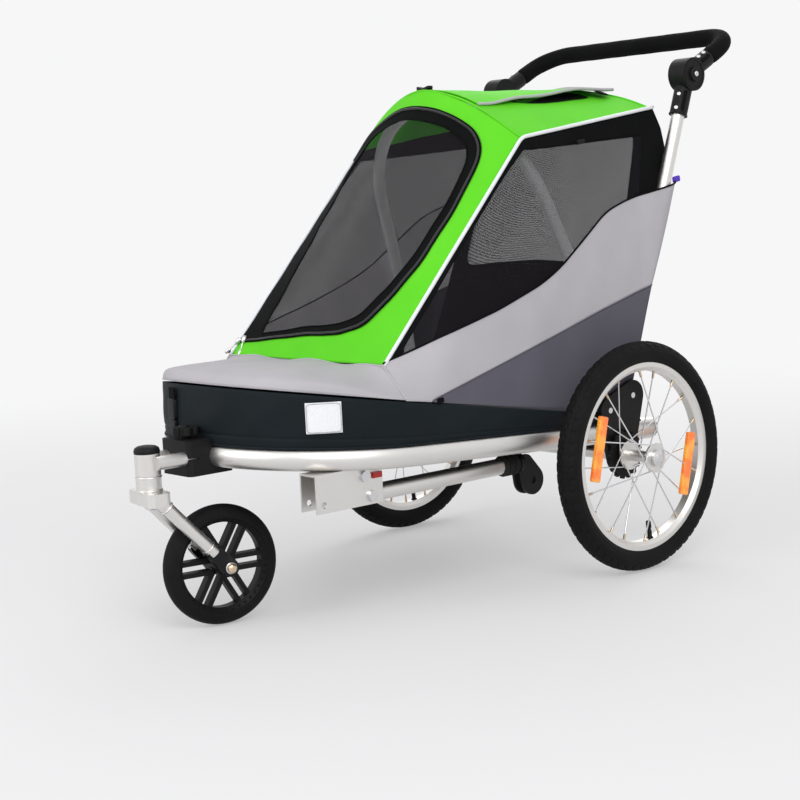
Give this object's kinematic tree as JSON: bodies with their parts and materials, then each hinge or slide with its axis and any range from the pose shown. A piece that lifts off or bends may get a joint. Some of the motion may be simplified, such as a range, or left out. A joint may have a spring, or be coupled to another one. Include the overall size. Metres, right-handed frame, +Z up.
{
  "type": "dog bike trailer",
  "caption": "Folding dog bike trailer with spoked wheels, a swivelling front wheel, a mesh-windowed fabric cabin, a tilting push handle and a fold-away tow arm.",
  "frame": {"origin": "floor point under the middle of the trailer's length and width", "axes": "+X forward to the swivelling wheel, +Y left, +Z up"},
  "size_m": [1.2231, 0.7166, 0.9513],
  "materials": {
    "satin_aluminium": "satin anodised tube",
    "polished_steel": "bright zinc",
    "chromed_steel": "polished",
    "brass_bolt": "satin",
    "black_plastic": "moulded",
    "black_steel": "powder coat",
    "foam": "foam",
    "rubber": "moulded",
    "tyre_rubber": "tread",
    "amber_plastic": "prismatic reflector",
    "red_plastic": "moulded",
    "green_fabric": "coated polyester",
    "grey_fabric": "coated polyester",
    "black_fabric": "coated polyester",
    "mesh_fabric": "open mesh",
    "reflective_fabric": "reflective welt"
  },
  "bodies": {
    "chassis": {"base_frame": "satin_aluminium", "rear_tube": "satin_aluminium", "axle_beam": "satin_aluminium", "wheel_axles": "polished_steel", "wheel_brackets": "black_steel", "fold_pins": "polished_steel", "floor_panel": "black_fabric", "skirt": "black_fabric", "caster_yoke": "satin_aluminium", "stem_bolt": "polished_steel", "head_cap": "black_plastic", "caster_clamp": "black_plastic", "tow_bracket": "polished_steel", "tow_bolts": "chromed_steel", "tow_clip": "red_plastic", "nose_cover": "grey_fabric", "front_panel": "green_fabric", "front_window": "mesh_fabric", "roof_panel": "green_fabric", "roof_flap": "green_fabric", "rear_panel": "black_fabric", "side_panels": "grey_fabric", "side_windows": "mesh_fabric", "piping": "reflective_fabric"},
    "left_wheel": {"left_hub": "chromed_steel", "left_rim": "satin_aluminium", "left_tyre": "tyre_rubber", "left_spokes": "polished_steel", "left_reflectors": "amber_plastic", "left_brake_ring": "black_plastic", "left_bearings": "polished_steel"},
    "right_wheel": {"right_hub": "chromed_steel", "right_rim": "satin_aluminium", "right_tyre": "tyre_rubber", "right_spokes": "polished_steel", "right_reflectors": "amber_plastic", "right_brake_ring": "black_plastic", "right_bearings": "polished_steel"},
    "knob": {"star_knob": "black_plastic", "knob_stud": "polished_steel"},
    "fork": {"caster_fork": "satin_aluminium", "fork_tips": "black_plastic", "caster_axle": "brass_bolt"},
    "front_wheel": {"caster_wheel": "black_plastic", "caster_tyre": "tyre_rubber", "caster_bearings": "polished_steel"},
    "rear_frame": {"posts": "satin_aluminium", "post_feet": "black_plastic", "handle_sockets": "black_plastic", "handle_pins": "polished_steel"},
    "bow": {"bow_tube": "satin_aluminium", "bow_feet": "black_plastic"},
    "handle": {"handle_bar": "satin_aluminium", "handle_grip": "foam", "handle_hubs": "black_plastic"},
    "left_button": {"left_release_button": "black_plastic"},
    "right_button": {"right_release_button": "black_plastic"},
    "tow_arm": {"tow_tube": "satin_aluminium", "hitch_bumper": "rubber", "hitch_coupler": "polished_steel"}
  },
  "joints": [
    {"name": "left_wheel_spin", "type": "hinge", "parent": "chassis", "child": "left_wheel", "pos_m": [-0.20771, 0.3125, 0.2], "axis": [0, 1, 0], "continuous": true},
    {"name": "right_wheel_spin", "type": "hinge", "parent": "chassis", "child": "right_wheel", "pos_m": [-0.20771, -0.3125, 0.2], "axis": [0, 1, 0], "continuous": true},
    {"name": "caster_swivel", "type": "hinge", "parent": "chassis", "child": "fork", "pos_m": [0.58929, 0, 0.25], "axis": [0, 0, 1], "continuous": true},
    {"name": "front_wheel_spin", "type": "hinge", "parent": "fork", "child": "front_wheel", "pos_m": [0.47886, 0.01868, 0.0974], "axis": [0.1668, 0.986, 0], "continuous": true},
    {"name": "knob_turn", "type": "hinge", "parent": "chassis", "child": "knob", "pos_m": [0.51729, 0, 0.305], "axis": [0, 0, 1], "range_deg": [0, 720]},
    {"name": "frame_fold", "type": "hinge", "parent": "chassis", "child": "rear_frame", "pos_m": [-0.24171, 0.241, 0.3], "axis": [0, 1, 0], "range_deg": [0, 97], "deforming": ["nose_cover", "front_panel", "front_window", "roof_panel", "roof_flap", "rear_panel", "side_panels", "side_windows", "piping"]},
    {"name": "bow_fold", "type": "hinge", "parent": "chassis", "child": "bow", "pos_m": [-0.18171, 0.241, 0.28], "axis": [0, 1, 0], "range_deg": [0, 69]},
    {"name": "handle_tilt", "type": "hinge", "parent": "rear_frame", "child": "handle", "pos_m": [-0.44871, 0.241, 0.86], "axis": [0, 1, 0], "range_deg": [-45, 60]},
    {"name": "left_button_press", "type": "slide", "parent": "handle", "child": "left_button", "axis": [0, -1, 0], "range_m": [0, 0.005], "stiffness_N_per_m": 300},
    {"name": "right_button_press", "type": "slide", "parent": "handle", "child": "right_button", "axis": [0, 1, 0], "range_m": [0, 0.005], "stiffness_N_per_m": 300},
    {"name": "tow_swing", "type": "hinge", "parent": "chassis", "child": "tow_arm", "pos_m": [0.32229, 0.2, 0.205], "axis": [0, -1, 0], "range_deg": [0, 180]}
  ],
  "couplings": [
    {"joint": "bow_fold", "follows": "frame_fold", "ratio": 0.711}
  ]
}
